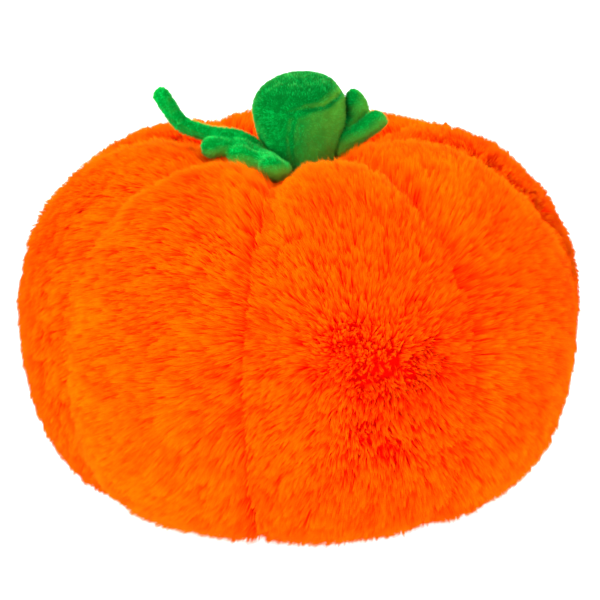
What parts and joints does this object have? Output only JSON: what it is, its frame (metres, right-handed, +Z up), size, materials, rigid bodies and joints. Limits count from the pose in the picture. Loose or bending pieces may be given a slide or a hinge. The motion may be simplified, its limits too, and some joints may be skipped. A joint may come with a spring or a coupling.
{
  "type": "plush pumpkin",
  "caption": "Stuffed plush pumpkin: a round lobed body of long orange pile with a padded green stem and two small padded leaves on top; rests on its flat base.",
  "frame": {"origin": "middle of the flat base, on the surface it rests on", "axes": "+Z up through the stem; -Y is the front, where one seam runs a little to the left of the middle; +X to the right"},
  "size_m": [0.3793, 0.379, 0.2811],
  "materials": {
    "orange_long_pile": "matte",
    "green_short_pile": "matte",
    "fibre_filling": "matte"
  },
  "bodies": {
    "root": {"fur_panel_1": "orange_long_pile", "fur_panel_2": "orange_long_pile", "fur_panel_3": "orange_long_pile", "fur_panel_4": "orange_long_pile", "fur_panel_5": "orange_long_pile", "fur_panel_6": "orange_long_pile", "fur_panel_7": "orange_long_pile", "fur_panel_8": "orange_long_pile", "body_filling": "fibre_filling", "stem_side": "green_short_pile", "stem_cap": "green_short_pile", "stem_filling": "fibre_filling", "leaf_left_upper": "green_short_pile", "leaf_left_lower": "green_short_pile", "leaf_left_filling": "fibre_filling", "leaf_right_upper": "green_short_pile", "leaf_right_lower": "green_short_pile", "leaf_right_filling": "fibre_filling"}
  },
  "joints": []
}
